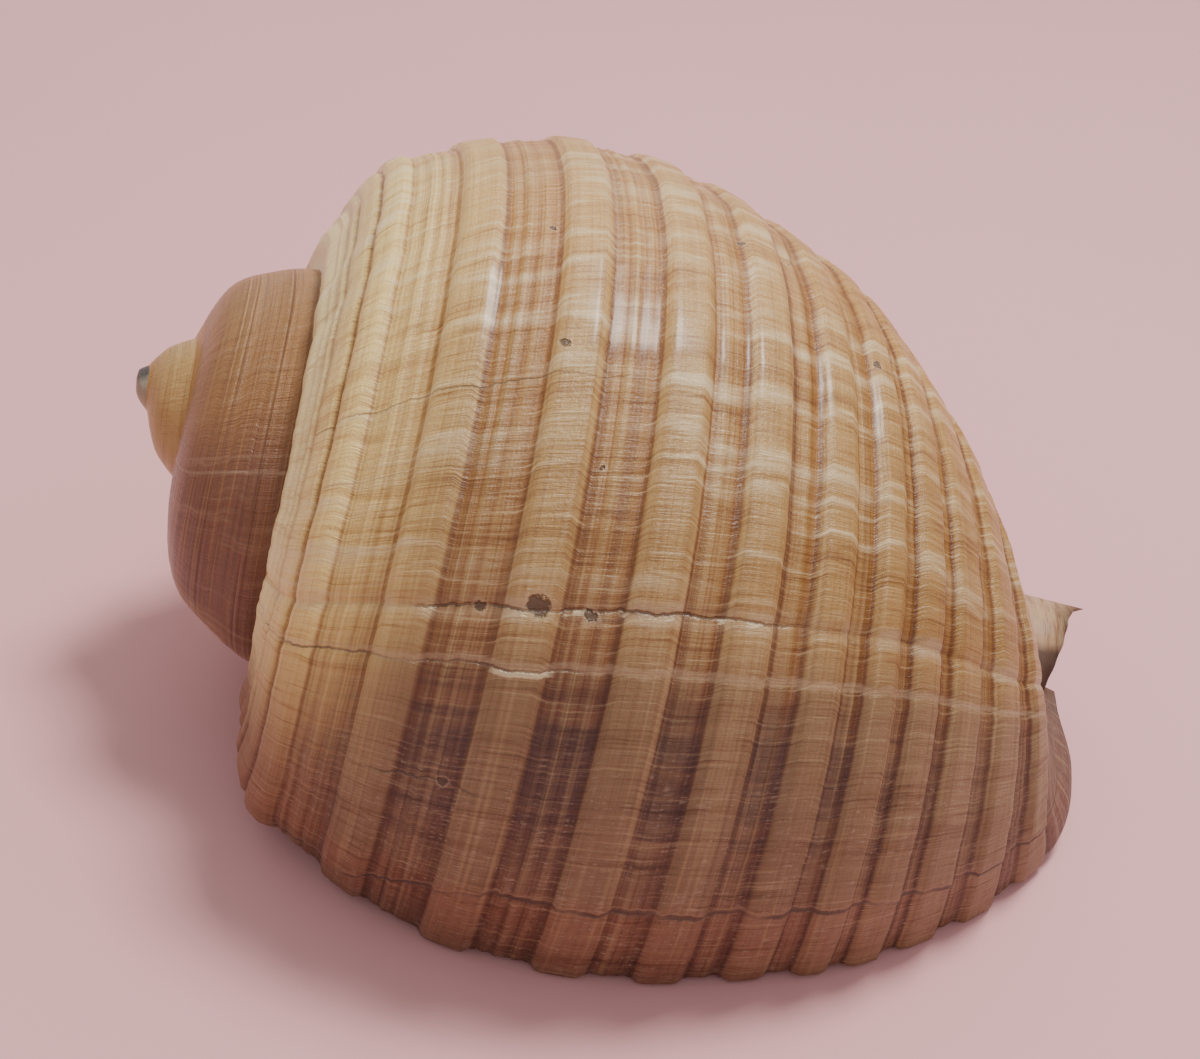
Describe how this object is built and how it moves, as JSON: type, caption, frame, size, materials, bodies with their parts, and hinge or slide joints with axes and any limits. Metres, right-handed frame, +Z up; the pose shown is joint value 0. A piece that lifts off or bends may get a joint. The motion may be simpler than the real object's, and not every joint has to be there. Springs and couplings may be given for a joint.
{
  "type": "tun shell",
  "caption": "Large globose sea snail shell with a low spire, broad flat spiral ribs, a wide aperture and a short siphonal beak, lying aperture down; worn, with repaired growth breaks",
  "frame": {"origin": "middle of the bounding box's underside, on the surface that the shell lies on", "axes": "+Z up; the coil axis runs from the apex towards the siphonal end along +X, dipping 13 degrees; the outer lip is on the -Y side and underneath"},
  "size_m": [0.172, 0.1334, 0.1071],
  "materials": {
    "shell": "satin"
  },
  "bodies": {
    "root": {"shell": "shell"}
  },
  "joints": []
}
